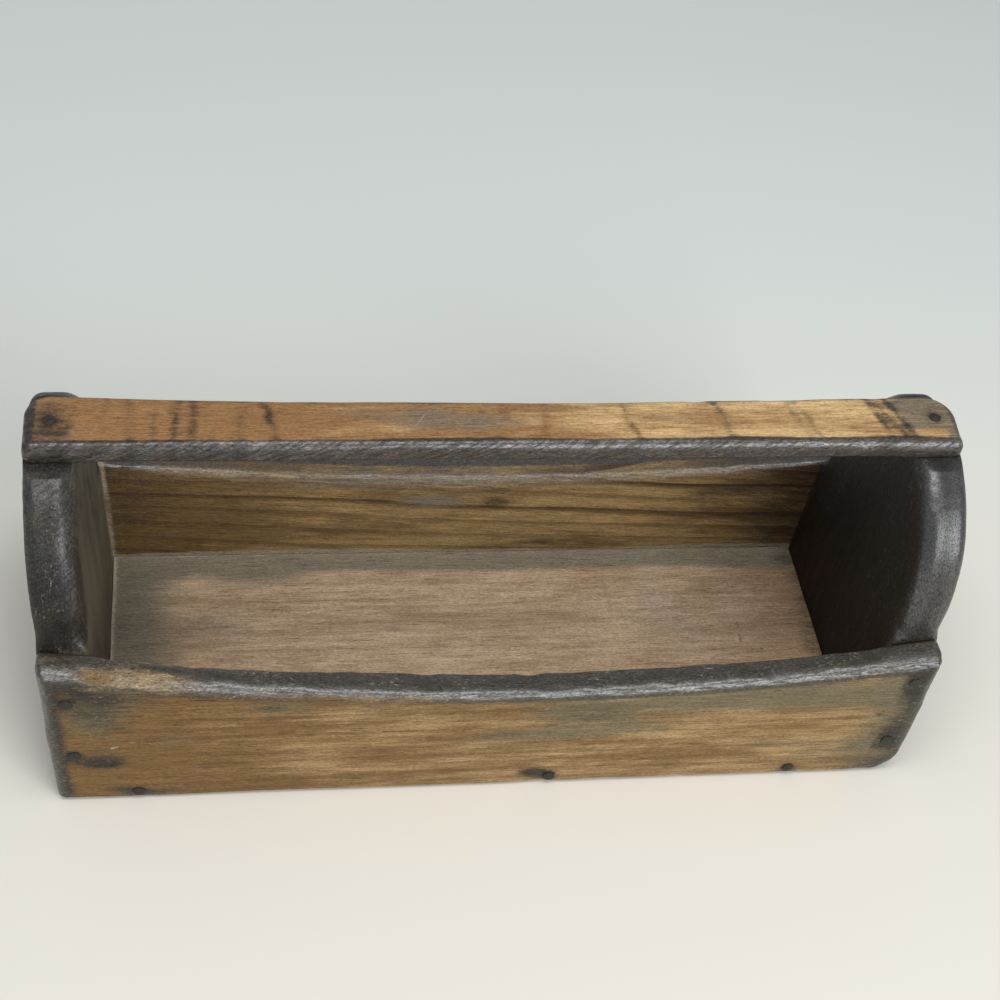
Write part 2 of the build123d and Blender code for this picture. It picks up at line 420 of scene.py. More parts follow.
# How the grain and the tool strokes lie on a board, as turns of the object's own axes.
GRAIN_UPRIGHT = (0.0, radians(90), 0.0)
GRAIN_ALONG_SIDE = (radians(-90), 0.0, 0.0)
GRAIN_DOWN_SIDE = (radians(-90), 0.0, radians(3.2))
GRAIN_ALONG_FLAT = (0.0, 0.0, 0.0)
STROKE_SLANT = (0.0, radians(22), 0.0)


def wood_material(name, turn, colours, ring, fibre_strength, bump, strokes=0.0, scratches=()):
    """Aged wood of one board's colours, with slanting tool strokes and scratches.

    A scratch is its start, its end, its width, its colour and its strength.
    """
    material = bpy.data.materials.new(name)
    material.use_nodes = True
    tree = material.node_tree
    shader = tree.nodes["Principled BSDF"]
    place = put(tree, "TexCoord").outputs["Object"]
    vector = put(tree, "Mapping", {0: place, 2: turn}).outputs[0]
    inputs = {"Vector": vector, "Fibre Strength": fibre_strength}
    inputs |= {socket: rgb(*colour) for socket, colour in colours.items()}
    inputs |= zip(("Ring Spacing", "Ring Wave", "Ring Strength"), ring)
    for mark in ("Deep Amount", "Grey Amount", "Soot Amount", "Dust Amount", "Arris"):
        attribute = mark.split()[0].lower()
        inputs[mark] = put(tree, "Attribute", attribute_name=attribute).outputs["Fac"]
    wood = put(tree, "Group", inputs, node_tree=aged_wood_group)
    colour, height = wood.outputs["Color"], wood.outputs["Height"]
    for start, stop, width, tint, amount in scratches:
        start, stop = np.array([start, stop]) * MILLIMETRE
        inputs = {"Vector": place, "From": start, "To": stop, "Width": width * MILLIMETRE}
        line = put(tree, "Group", inputs, node_tree=scratch_group)
        mask = times(tree, line.outputs["Mask"], amount)
        colour = blend(tree, mask, colour, tint)
        height = weighed(tree, height, (mask, -1.2))
    slanted = put(tree, "Mapping", {0: place, 2: STROKE_SLANT}).outputs[0]
    hatch = noise(tree, slanted, (70, 200, 900), 2)
    rubbed = stretch(tree, hatch, 0.35, 0.6, 1 - strokes, 1.0)
    polish = times(tree, wood.outputs["Polish"], rubbed)
    height = weighed(tree, height, (times(tree, hatch, polish), 2.5 * strokes))
    relief = put(tree, "Bump", {"Height": height, "Strength": 1.0, "Distance": bump * MILLIMETRE})
    tree.links.new(colour, shader.inputs["Base Color"])
    tree.links.new(wood.outputs["Roughness"], shader.inputs["Roughness"])
    tree.links.new(relief.outputs[0], shader.inputs["Normal"])
    tree.links.new(polish, shader.inputs["Coat Weight"])
    shader.inputs["Coat Roughness"].default_value = 0.36
    shader.inputs["Coat IOR"].default_value = 2.1
    shader.inputs["Specular IOR Level"].default_value = 0.2
    return material


def end_board(side, name, material, seed):
    """One arched end: each row of the net is as wide as the arch is at its height."""
    end = {"left": -1, "right": 1}[side]
    front_top, back_top = SIDE_TOPS[side]
    arc = np.arccos(SEAT_HALF_WIDTH / HALF_WIDTH)
    edge = drawn_to_ends(150, 0.55) * (ARCH_CENTRE_HEIGHT + arc * HALF_WIDTH)
    turn = np.clip((edge - ARCH_CENTRE_HEIGHT) / HALF_WIDTH, 0, None)
    height = np.minimum(edge, ARCH_CENTRE_HEIGHT) + HALF_WIDTH * np.sin(turn)
    across = (2 * drawn_to_ends(110, 0.6) - 1)[:, None] * (HALF_WIDTH * np.cos(turn))[None]
    up = np.broadcast_to(height, across.shape)

    def place(y, z, level):
        """Leans the net outwards, and wears the arch's back shoulder in towards its centre."""
        above = z - ARCH_CENTRE_HEIGHT
        turn = np.degrees(np.arctan2(y, above))
        shoulder = SHOULDER_WEAR[side] * eased(turn, 24, 44) * eased(turn, 92, 62)
        share = 1 - shoulder / HALF_WIDTH * (np.hypot(y, above) / HALF_WIDTH) ** 3
        worn_z = ARCH_CENTRE_HEIGHT + above * share
        return end * (INNER_HALF_LENGTH + worn_z * LEAN + level), y * share, worn_z

    def covered_top(y):
        """The top of the side board that covers the end's edge: front or back."""
        return np.where(y < 0, front_top, back_top)

    def outline(across, up):
        """Depth inside the whole arch, as if the seat weren't cut, or above the foot."""
        y, z = across.ravel(), up.ravel()
        above = np.clip(z - ARCH_CENTRE_HEIGHT, 0, None)
        reach = np.maximum(np.hypot(y, above), 1e-6)
        depth = HALF_WIDTH - reach
        on_foot = z < depth
        foot_rim = np.stack([y, 0 * z], axis=1)
        arch_rim = np.stack([y * HALF_WIDTH / reach, z], axis=1)
        arch_inward = -np.stack([y, above], axis=1) / reach[:, None]
        inward = np.where(on_foot[:, None], (0, 1), arch_inward)
        rim = np.where(on_foot[:, None], foot_rim, arch_rim)
        return np.clip(np.where(on_foot, z, depth), 0, None), inward, rim

    def foot_scoop(y, z, depth):
        """A hollow in the left arch's front edge, just above the front board."""
        in_place = (side == "left") * (y < 0) * eased(depth, 12, 4)
        return FOOT_SCOOP_DEPTH * in_place * bell(z - front_top - 9, 9)

    def arris_radius(y, z, outer):
        """Round where hands reach, sharp where the side boards cover the edge."""
        bare = eased(z, covered_top(y) - 5, covered_top(y) + 4)
        worn = 0.8 + bare * np.where(outer, 5.4, 8.2)
        return np.where(z < 0.01, np.where(outer, 2.5, 0.6), worn)

    def relief(site, depth, under, outer):
        """Shallow waves, with dents and bruises along the bare arch."""
        y, z = site[:, 0], site[:, 1]
        bare = eased(z, covered_top(y) - 3, covered_top(y) + 6) * eased(SEAT_HEIGHT - z, 0, 4)
        near_rim = bell(np.hypot(depth, under), 9)
        broad = 0.5 + 0.5 * soft_noise(site, (14, 22, 14), seed)
        bruise = eased(soft_noise(site, (6, 7, 6), seed + 1), 0.25, 0.8)
        fine = 0.5 + 0.5 * soft_noise(site, (2.6, 4, 2.6), seed + 2)
        free = eased(SEAT_HEIGHT - z, 0, 3) * (under < 0.01) + bare * (under >= 0.01)
        arch = near_rim * (0.3 * broad + 0.25 * bruise) + 0.16 * fine
        scoop = foot_scoop(y, z, depth) * np.where(outer, 0.15, 1)
        return bare * arch + 0.12 * broad * free + scoop

    def marks(site, depth, under, outer):
        """Soot outside and along the bare arch; grey and dust inside; and painted shade, black,
        in the left foot's hollow.
        """
        y, z = site[:, 0], site[:, 1]
        fleck = soft_noise(site, (9, 30, 9), seed + 3)
        near_rim = bell(depth, 16)
        bare = eased(z, covered_top(y) - 8, covered_top(y) + 8)
        foot = eased(z, 26, 0)
        outside = np.where(outer, 0.72 + 0.2 * fleck, 0.0)
        worn_grey = (0.3 if side == "left" else 0.15) * eased(z, front_top + 30, front_top + 58)
        rim_black = 0.3 * bare + near_rim * bare * (0.85 - worn_grey + 0.25 * fleck)
        if side == "left":
            inner_soot = 0.16 + 0.2 * fleck + 0.3 * eased(z, 60, 150)
            inner_grey = 0.62 + 0.25 * fleck
            dusty = 0.42 * eased(z, 34, 8) + 0.75 * eased(y + 2 * fleck, 61, 71)
        else:
            inner_soot = 0.42 + 0.35 * eased(z, 40, 110) + 0.15 * fleck
            inner_grey = np.zeros(len(y))
            dusty = 0.2 * eased(z, 24, 10)
        # Painted shade: the hollow above the front board is made black through soot and a deep
        # amount past 1.
        hollow = foot_scoop(y, z, depth) * eased(z, front_top + 26, front_top + 17)
        soot = np.maximum(np.where(outer, outside, inner_soot), rim_black) + 0.6 * hollow
        along_arris = bell(depth, 5) * bell(under, 14)
        if side == "left":
            patchy = 0.1 + 0.6 * eased(z, front_top + 30, front_top + 62)
            along_arris *= np.where(outer, patchy, np.maximum(patchy, bell(under, 6)))
        return {
            "arris": along_arris,
            "deep": 0.2 + 0.3 * fleck + 0.9 * hollow,
            "grey": np.where(outer, 0.35 + 0.3 * fleck, inner_grey) + 0.6 * near_rim * bare,
            "soot": soot + 0.25 * foot * outer,
            "dust": np.where(outer, 0.1 * foot, dusty),
        }

    board = worn_board(
        name, across, up, END_THICKNESS, 18, place, arris_radius, relief, marks, outline
    )
    board.data.materials.append(material)
    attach(board, "root")
    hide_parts(name)


grey_end_colours = {
    "Pale Wood": (0.15, 0.11, 0.065),
    "Deep Wood": (0.075, 0.055, 0.032),
    "Ring Colour": (0.03, 0.022, 0.014),
    "Grey": (0.12, 0.112, 0.075),
    "Soot": (0.012, 0.011, 0.01),
    "Soot Fleck": (0.21, 0.18, 0.14),
    "Dust": (0.24, 0.215, 0.145),
}
black_end_colours = {
    **grey_end_colours,
    "Pale Wood": (0.034, 0.018, 0.01),
    "Deep Wood": (0.014, 0.008, 0.005),
    "Ring Colour": (0.008, 0.005, 0.004),
    "Soot Fleck": (0.13, 0.12, 0.1),
    "Dust": (0.12, 0.09, 0.055),
}
left_end_wood = wood_material(
    "left end wood", GRAIN_UPRIGHT, grey_end_colours, (0.009, 0.006, 0.5), 1.7, 0.5, 0.6
)
right_end_wood = wood_material(
    "right end wood", GRAIN_UPRIGHT, black_end_colours, (0.011, 0.007, 0.6), 1.7, 0.5
)
end_board("left", "left_end_board", left_end_wood, 11)
end_board("right", "right_end_board", right_end_wood, 23)

# ------------------------------------------------------- front and back boards
# Two softwood planks are nailed over the edges of the ends and of the bottom. Their top edges
# are worn into long scoops and blackened by hands, and the golden faces are smoked and
# stained, most of all round the nails and at the right end. The back one is darker inside.
OUTER_HALF_LENGTH = 228.5
SIDE_THICKNESS = 17.0
LEFT_CORNER = 5.0
RIGHT_CORNER = 16.0
UPPER_CORNER = 5.0


def round_corner(from_end, from_edge, radius):
    """Bends the square corner of a net to a quarter circle.

    A node inside the corner's square moves straight towards the circle's centre, until its
    distance from it is the greater of its two distances from the centre's own lines.
    """
    end_reach = np.clip(radius - from_end, 0, None)
    edge_reach = np.clip(radius - from_edge, 0, None)
    inside = (end_reach > 0) & (edge_reach > 0)
    reach = np.where(inside, np.hypot(end_reach, edge_reach), 1)
    share = np.where(inside, np.maximum(end_reach, edge_reach) / reach, 1)
    moved_end = np.where(inside, radius - end_reach * share, from_end)
    moved_edge = np.where(inside, radius - edge_reach * share, from_edge)
    return moved_end - from_end, moved_edge - from_edge


def side_net(left_top, middle_top, right_top):
    """A plank's face: ends that follow the lean, a top that is part of a circle, and rounded
    corners. The circle goes through the three given heights; rows share out the height.
    """
    left = OUTER_HALF_LENGTH + left_top * LEAN
    right = OUTER_HALF_LENGTH + right_top * LEAN
    share = drawn_to_ends(330, 0.6)[:, None]
    rise = drawn_to_ends(84, 0.72)[None]
    top_x = -left + (left + right) * share
    ends = np.array([[-left, left_top], [0, middle_top], [right, right_top]])
    squares = np.stack([ends[:, 0], ends[:, 1], np.ones(3)], axis=1)
    slope, lift, rest = np.linalg.solve(squares, -(ends**2).sum(axis=1))
    top = (-lift - np.sqrt(lift**2 - 4 * (top_x**2 + slope * top_x + rest))) / 2
    z = rise * top
    left_x = -(OUTER_HALF_LENGTH + rise * left_top * LEAN)
    right_x = OUTER_HALF_LENGTH + rise * right_top * LEAN
    x = left_x + (right_x - left_x) * share
    for end, end_x, lower_corner in ((1, right_x, RIGHT_CORNER), (-1, left_x, LEFT_CORNER)):
        pull_in, pull_up = round_corner(end * (end_x - x), z, lower_corner)
        x, z = x - end * pull_in, z + pull_up
        pull_in, pull_down = round_corner(end * (end_x - x), top - z, UPPER_CORNER)
        x, z = x - end * pull_in, z - pull_down
    return x, z


def side_board(name, side, tops, material, crest_radius, nail_places, dents, paint, seed):
    """A plank from its net, with its outer face at the front (side -1) or the back (side 1).

    crest_radius gives the outer top arris at the left end, the middle and the right end.
    """
    x, z = side_net(*tops)

    def place(x, z, level):
        return x, side * (HALF_WIDTH + level), z

    def arris_radius(x, z, outer):
        """Round all the way outside, and along the top inside the trough."""
        crest = eased(z, 55, 68)
        worn = np.interp(x, (-200, 0, 200), crest_radius) * (1 + 0.08 * np.sin(x / 31.0))
        soft = 3.2 + crest * (worn - 3.2)
        return np.where(outer, soft, 0.7 + crest * (2.2 + 0.6 * np.sin(x / 23.0 + 1)))

    top_line_x, top_line_z = x[:, -1], z[:, -1]

    def below_top(x, z):
        """How far a place lies below the scooped top edge."""
        return np.interp(x, top_line_x, top_line_z) - z

    def relief(site, depth, under, outer):
        """Waves along the grain, a hollow round each nail, dents, and chips off the arris.

        The outer top line of the back board isn't worn in the middle and keeps its height.
        """
        x, z, level = site.T
        drop = below_top(x, z)
        joined = np.where(outer, 0, eased(abs(x), 196, 204))
        broad = 0.5 + 0.5 * soft_noise(site, (60, 17, 17), seed)
        near_rim = bell(np.hypot(depth, under), 6)
        chip = eased(soft_noise(site, (13, 6, 6), seed + 1), 0.3, 0.85)
        fine = 0.5 + 0.5 * soft_noise(site, (8, 2.4, 3), seed + 2)
        hollow = blots(x, z, [(nx, nz, 5.2, 4.6, 0.55) for nx, nz in nail_places], 0)
        struck = blots(x, z, dents, 0)
        crest = eased(drop, 12, 0)
        wave = 0.3 * broad + near_rim * (0.4 * broad + 0.7 * chip) + (0.1 + 0.5 * crest) * fine
        highest = eased(drop, 4, 0) * eased(abs(x), 180, 130) * eased(level, 6, 12)
        kept = 1 - highest * (side > 0)
        return (1 - joined) * wave * kept + outer * (hollow + struck)

    def marks(site, depth, under, outer):
        """The board's own paint, with noise that tears its borders and clouds it."""
        torn = 0.5 * abs(soft_noise(site, (38, 7, 12), seed + 3))
        cloud = soft_noise(site, (70, 14, 14), seed + 4)
        return paint(site, depth, under, outer, below_top(site[:, 0], site[:, 1]), torn, cloud)

    board = worn_board(name, x, z, SIDE_THICKNESS, 12, place, arris_radius, relief, marks)
    board.data.materials.append(material)
    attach(board, "root")
    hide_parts(name)


# Nail heads on the outer faces: x and height. The lower ones are alike at front and back.
LOWER_NAILS = [(-217.9, 38.5), (217.5, 29), (-187, 6.5), (31, 6.5), (166, 6.5)]
FRONT_NAILS = [(-220.1, 80.5), (220, 79), *LOWER_NAILS]
BACK_NAILS = [(-219.4, 66.5), (219.6, 71), *LOWER_NAILS]
# Dents and stains on the front face: x, height, half length, half height, strength.
FRONT_DENTS = [
    (207, 52, 3.4, 2.2, 0.7), (199, 41, 2.4, 2, 0.5), (207, 34, 2.6, 2, 0.5),
    (221, 29, 2.6, 3.2, 0.6), (211, 23, 2.4, 2, 0.5), (-176, 50, 5, 0.9, 0.35),
    (-141, 31, 2, 1.4, 0.4), (97, 13, 2.4, 1.2, 0.4), (-60, 35, 9, 1, 0.2),
]
FRONT_SMOKE = [
    (46, 62, 30, 10, 1), (26, 44, 42, 6, 0.8), (116, 69, 44, 9, 1), (176, 69, 40, 10, 1),
    (78, 48, 30, 5, 0.45), (-118, 73, 20, 5, 0.6), (-60, 70, 40, 5, 0.3), (-187, 5, 18, 5, 0.6),
    (-168, 49, 12, 3, 0.5), (-205, 66, 12, 18, 0.35), (100, 14, 26, 5, 0.35),
    (190, 20, 34, 10, 0.5), (-90, 12, 60, 5, 0.25), (150, 30, 50, 5, 0.25), (60, 78, 90, 5, 0.8),
    (-208, 80, 22, 16, 0.35), (-212, 62, 12, 8, 0.3), (-196, 82, 22, 6, 0.3),
]
FRONT_SOOT = [
    (-204, 34, 13, 7, 0.66), (-219, 38.5, 5, 5, 0.8), (-220, 80, 4, 4, 0.6), (22, 10, 9, 5, 0.95),
    (31, 6, 5, 4, 0.9), (166, 4.5, 6, 4.5, 0.8), (-187, 5, 6, 4, 0.7), (220, 78, 6, 7, 0.9),
    (217, 30, 6, 7, 0.7), (50, 58, 12, 4, 0.35), (-6, 42, 8, 2.5, 0.4), (-118, 73, 9, 3, 0.45),
    (-216, 92, 10, 6, 0.7), (-205, 31, 10, 3, 0.5), (-206, 78, 18, 13, 0.5),
    (-188, 86, 22, 7, 0.35), (-200, 62, 14, 8, 0.25), (-196, 9, 9, 3, 0.4),
    (-180, 5, 19, 4, 0.55), (60, 66, 16, 4, 0.3),
]


def paint_front(site, depth, under, outer, drop, torn, cloud):
    """Golden face; black top edge, ends and lower right corner; smoke and nail stains; a pale
    inner lip, partly worn and partly painted highlight, and a painted highlight line below.
    """
    x, z, level = site.T
    warp = torn - 0.25
    right_end = OUTER_HALF_LENGTH + z * LEAN - x
    left_end = OUTER_HALF_LENGTH + z * LEAN + x
    crest = eased(drop + 3 * cloud, 10, 3)
    band = 0.9 * eased(right_end + 8 * cloud, 21, 2) + 1.2 * eased(left_end + 2 * cloud, 13, 4)
    corner = blots(x, z, [(216, 4, 22, 12, 0.6)], warp)
    on_top = eased(drop, 1.2, 0.2)
    # A pale line along the top's inner arris: partly worn wood, partly a painted highlight.
    lip_rub_and_sheen = eased(level, 2.6, 0.8) * eased(drop, 2.5, 0.5) * (0.6 + 0.6 * cloud)
    lip_rub_and_sheen *= eased(abs(x), 200, 185)
    # Painted highlight: a pale line along the lower border of the worn crest.
    lower_sheen_line = bell(drop - 7, 1.6) * outer * (0.5 + cloud)
    khaki = blots(x, z, [(-178, 98, 26, 14, 1.0)], 0) * eased(drop, 9, 2) * eased(level, 5, 9)
    glint = blots(x, z, [(-205, 100, 10, 7, 0.9)], 0) * eased(drop, 7, 2) * eased(level, 8, 12)
    crest = crest * (1 - 0.55 * blots(x, z, [(-70, 84, 60, 16, 1.0)], 0))
    spots = blots(x, z, FRONT_SOOT, warp) + 0.9 * blots(x, z, FRONT_DENTS, 0)
    soot_face = 0.8 * crest + 0.85 * band + corner + spots - 0.5 * khaki - glint
    soot_top = 1.0 - 0.5 * khaki - glint + 0.1 * cloud
    soot = np.where(on_top > 0.5, soot_top, soot_face) + 0.3 * eased(z, 3, 0)
    inside = ~outer & (on_top < 0.5) & (left_end > 8) & (right_end > 8)
    grey_face = blots(x, z, FRONT_SMOKE, warp) + 0.3 * crest + 0.1 * cloud
    grey_face += 0.8 * eased(right_end + 8 * cloud, 42, 12)
    browner = 0.62 * eased(x + 40 * cloud, -60, -215) - 0.9 * eased(x, 40, 160)
    return {
        "deep": browner + 0.2 * cloud + 0.16,
        "grey": np.where(inside, 0.5 + 0.2 * cloud, grey_face),
        "soot": np.where(inside, 0.35 + 0.3 * cloud, soot),
        "dust": 0.6 * khaki + 0.55 * lip_rub_and_sheen + 0.45 * lower_sheen_line + 0.22 * eased(z, 4, 0) * outer
        + 0.2 * on_top * eased(cloud, 0, 0.7),
    }


def paint_back(site, depth, under, outer, drop, torn, cloud):
    """Olive brown inside and darker at its ends, the left one partly by the handle's painted
    shadow, with a dusty foot and a pale lip that is partly rubbed and partly painted sheen.

    The end faces are painted as the outside is.
    """
    x, z = site[:, 0], site[:, 1]
    outer = outer | (abs(x) > INNER_HALF_LENGTH + z * LEAN + 8)
    warp = torn - 0.25
    ends = eased(abs(x + 4), 150, 204)
    right = eased(x + 20 * cloud, 120, 204)
    dark = [
        (50, 20, 20, 3, 0.75), (150, 61, 26, 6, 0.55), (16, 54, 10, 6, 0.7), (-80, 29, 22, 2, 0.4),
        (12, 66, 16, 3, 0.5), (-120, 44, 30, 3, 0.3), (110, 42, 40, 2, 0.3),
    ]
    pale = [(-20, 56, 16, 4, 0.7), (0, 72, 60, 4, 0.35), (-60, 70, 60, 4, 0.3)]
    foot = eased(z - 13 + 1.5 * cloud, 3.2, 0.3)
    # A pale band along the inner lip: partly rubbed, partly painted sheen.
    lip_rub_and_sheen = eased(drop, 9, 2) * eased(under, 6, 1) * eased(abs(x), 200, 165)
    smudge = blots(x, z, dark, warp)
    # Darker at the upper left inside: the handle's painted shadow.
    left = eased(x + 12 * cloud, -120, -200) * eased(z, 20, 45)
    corner = eased(abs(INNER_HALF_LENGTH + z * LEAN + x + cloud), 4.2, 1.2)
    inner_soot = 0.12 * ends + 0.5 * right + 0.85 * smudge + 0.35 * left
    outer_soot = 0.3 + 0.25 * cloud + 0.7 * eased(drop, 14, 3) + 0.8 * eased(abs(x), 208, 226)
    on_top = eased(drop, 1.2, 0.2)
    inner_dust = 0.95 * foot + lip_rub_and_sheen * (0.4 + 0.4 * cloud) + (0.5 + 0.4 * cloud) * corner
    return {
        # The deeper tone towards the left end inside is partly the handle's painted shadow.
        "deep": np.where(outer, 0.1, 0.75 * eased(x, -60, -200) + 0.3 * right) + 0.2 * cloud,
        "grey": np.where(outer, 0.45 + 0.3 * cloud, 0.2 + blots(x, z, pale, warp) + 0.3 * lip_rub_and_sheen),
        "soot": np.where(outer, outer_soot, inner_soot) + 0.45 * on_top,
        "dust": np.where(outer, 0.12 * eased(z, 6, 0), inner_dust),
    }


front_colours = {
    "Pale Wood": (0.375, 0.25, 0.118),
    "Deep Wood": (0.172, 0.097, 0.034),
    "Ring Colour": (0.11, 0.058, 0.024),
    "Grey": (0.142, 0.118, 0.069),
    "Soot": (0.02, 0.018, 0.012),
    "Soot Fleck": (0.29, 0.26, 0.18),
    "Dust": (0.42, 0.3, 0.165),
}
PALE_SCRATCH = rgb(0.42, 0.37, 0.28)
DARK_CRACK = rgb(0.02, 0.016, 0.012)
FRONT_Y = -HALF_WIDTH - SIDE_THICKNESS
front_scratches = [
    ((-160, FRONT_Y, 82), (-146, FRONT_Y, 80.5), 0.7, DARK_CRACK, 0.95),
    ((-83, FRONT_Y, 52.5), (-63, FRONT_Y, 51), 0.55, PALE_SCRATCH, 0.7),
    ((-199, FRONT_Y, 44.5), (-196, FRONT_Y, 45.5), 1.0, PALE_SCRATCH, 0.8),
    ((-191, FRONT_Y, 49), (-188, FRONT_Y, 48.5), 0.8, PALE_SCRATCH, 0.6),
    ((22, FRONT_Y, 66), (24, FRONT_Y, 68), 0.9, PALE_SCRATCH, 0.35),
    ((96, FRONT_Y, 59), (108, FRONT_Y, 60), 0.6, DARK_CRACK, 0.6),
    ((30, FRONT_Y, 52), (60, FRONT_Y, 53), 0.5, PALE_SCRATCH, 0.4),
]
back_colours = {
    "Pale Wood": (0.33, 0.215, 0.088),
    "Deep Wood": (0.14, 0.082, 0.028),
    "Ring Colour": (0.06, 0.028, 0.01),
    "Grey": (0.17, 0.145, 0.11),
    "Soot": (0.02, 0.013, 0.008),
    "Soot Fleck": (0.12, 0.085, 0.05),
    "Dust": (0.33, 0.27, 0.19),
}
front_wood = wood_material(
    "front board wood", GRAIN_ALONG_SIDE, front_colours, (0.0075, 0.008, 0.42), 1.7, 0.45,
    scratches=front_scratches,
)
back_wood = wood_material(
    "back board wood", GRAIN_DOWN_SIDE, back_colours, (0.0115, 0.014, 1.15), 1.5, 0.45
)
side_board(
    "front_board", -1, (104.0, 78.0, 96.0), front_wood, (7.5, 5.0, 6.0), FRONT_NAILS, FRONT_DENTS,
    paint_front, 37,
)
side_board(
    "back_board", 1, (90.0, 75.0, 88.0), back_wood, (4.0, 0.9, 4.0), BACK_NAILS, [], paint_back, 53
)

# --------------------------------------------------------------- bottom board
# A thin plank lies inside the four sides, level with their feet. It is a dull pinkish brown,
# greyer along the back and at the left end, and worn pale in the middle by what it carried.
# Towards both end boards it is painted darker, partly greyed wood and partly painted shade.
BOTTOM_THICKNESS = 13.0
along, across = np.meshgrid(
    INNER_HALF_LENGTH * (2 * drawn_to_ends(280, 0.5) - 1),
    HALF_WIDTH * (2 * drawn_to_ends(96, 0.5) - 1),
    indexing="ij",
)


def bottom_place(x, y, level):
    """The ends lean with the end boards."""
    return x * (1 + level * LEAN / INNER_HALF_LENGTH), y, level


def bottom_radius(x, y, top):
    """A thin arris all round."""
    return np.full(len(x), 0.7)


def bottom_relief(site, depth, under, top):
    """Shallow waves with a few dents on top."""
    broad = 0.5 + 0.5 * soft_noise(site, (50, 16, 16), 71)
    dent = eased(soft_noise(site, (5, 4, 5), 72), 0.6, 0.95)
    return top * (0.35 * broad + 0.35 * dent * eased(depth, 3, 8))


def bottom_marks(site, depth, under, top):
    """Grey along the back and the left, dusty in the corners, brown and dark at the right;
    the darkening towards both ends is partly painted shade.
    """
    x, y = site[:, 0], site[:, 1]
    cloud = soft_noise(site, (60, 20, 20), 73)
    torn = 0.5 * abs(soft_noise(site, (30, 9, 9), 74)) - 0.25
    back = eased(y + 4 * cloud, 50, 64)
    # Darker towards both end boards: partly greyed and stained wood, partly painted shade.
    left = eased(x + 12 * cloud, -150, -192)
    right = eased(x + 22 * cloud, 135, 178)
    grey_spots = [(-120, 52, 34, 9, 0.5), (-150, 12, 24, 20, 0.35), (60, 60, 90, 6, 0.3)]
    dust_spots = [(112, 30, 12, 34, 0.5), (128, 5, 9, 22, 0.4), (0, 20, 110, 30, 0.15)]
    rim = eased(depth + 0.8 * cloud, 3.0, 0.4)
    return {
        "deep": 0.5 * right + 0.25 * left + 0.15 * cloud,
        "grey": 1.1 * back + 0.95 * left + blots(x, y, grey_spots, torn)
        + 0.12 * eased(cloud, 0.1, 0.8),
        "soot": 0.2 * left + 0.45 * eased(x + 8 * cloud, 184, 203) + 0.6 * ~top,
        "dust": 0.7 * blots(x, y, dust_spots, torn)
        + 0.36 * rim * eased(x, 180, 120) * (1 + cloud)
        + 0.5 * eased(x + 2 * cloud, -198, -202.5),
    }


bottom_colours = {
    "Pale Wood": (0.62, 0.45, 0.295),
    "Deep Wood": (0.39, 0.26, 0.155),
    "Ring Colour": (0.26, 0.16, 0.095),
    "Grey": (0.18, 0.165, 0.12),
    "Soot": (0.03, 0.024, 0.016),
    "Soot Fleck": (0.14, 0.115, 0.08),
    "Dust": (0.46, 0.39, 0.3),
}
FLOOR_Z = BOTTOM_THICKNESS
bottom_scratches = [
    ((81, 50, FLOOR_Z), (84, 22, FLOOR_Z), 0.8, PALE_SCRATCH, 0.6),
    ((66, 12, FLOOR_Z), (67, -4, FLOOR_Z), 0.7, PALE_SCRATCH, 0.4),
    ((158, 12, FLOOR_Z), (157, -3, FLOOR_Z), 0.8, DARK_CRACK, 0.6),
    ((-121, 46, FLOOR_Z), (-119, 43, FLOOR_Z), 0.9, PALE_SCRATCH, 0.8),
    ((-174, 19, FLOOR_Z), (-172.5, 18, FLOOR_Z), 1.1, PALE_SCRATCH, 0.9),
    ((-99, -8, FLOOR_Z), (-98, -9, FLOOR_Z), 1.1, PALE_SCRATCH, 0.9),
    ((16.5, -3.5, FLOOR_Z), (17.5, -4.5, FLOOR_Z), 1.2, PALE_SCRATCH, 1.0),
    ((87, -3, FLOOR_Z), (89, -4.5, FLOOR_Z), 1.3, PALE_SCRATCH, 0.9),
]
bottom_wood = wood_material(
    "bottom board wood", GRAIN_ALONG_FLAT, bottom_colours, (0.0062, 0.008, 0.2), 1.4, 0.35,
    scratches=bottom_scratches,
)
bottom = worn_board(
    "bottom_board", along, across, BOTTOM_THICKNESS, 6, bottom_place, bottom_radius, bottom_relief,
    bottom_marks,
)
bottom.data.materials.append(bottom_wood)
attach(bottom, "root")
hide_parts("bottom_board")

# --------------------------------------------------------------- handle board
# A flat plank lies on both arches and is nailed down at each end. Its top is the palest wood
# of the tote, gold and orange, with dark bars across; its rounded front edge and both ends
# are black and polished, and its back edge is hollowed by hands.
HANDLE_HALF_LENGTH = OUTER_HALF_LENGTH + SEAT_HEIGHT * LEAN
HANDLE_HALF_WIDTH = 19.0
HANDLE_THICKNESS = 11.0
HANDLE_TOP = SEAT_HEIGHT + HANDLE_THICKNESS
BACK_HOLLOW = 5.0
FRONT_CORNER = 4.5
HANDLE_NAIL_X = 225.0
BACK_CORNERS = {"left": 14.0, "right": 16.0}
# Dark bars across the top: x at the middle, half width, slant per mm of depth, strength.
HANDLE_BARS = [
    (-199, 1.6, 0.05, 0.35), (-187, 2.2, -0.05, 0.5), (-175, 1.6, 0, 0.45), (-165, 2, 0.1, 0.85),
    (-157, 2.4, 0.05, 0.9), (-149, 1.3, 0, 0.35), (-133, 3.2, 0.1, 0.5),
    (-119.5, 2.2, -0.25, 0.95), (-105, 1.4, 0, 0.2), (-5, 2.6, 0.2, 0.4), (18, 1.8, 0.1, 0.4),
    (61, 1.8, -0.25, 0.55), (110, 2.4, -0.15, 0.7), (121, 1.6, 0.1, 0.25), (150, 1.8, -0.25, 0.45),
    (156, 1.6, -0.3, 0.5), (168, 1.6, 0.1, 0.35), (180, 2, 0.1, 0.3), (194, 1.8, -0.3, 0.8),
    (200, 2.2, -0.35, 0.95), (206, 1.8, -0.35, 0.8),
]

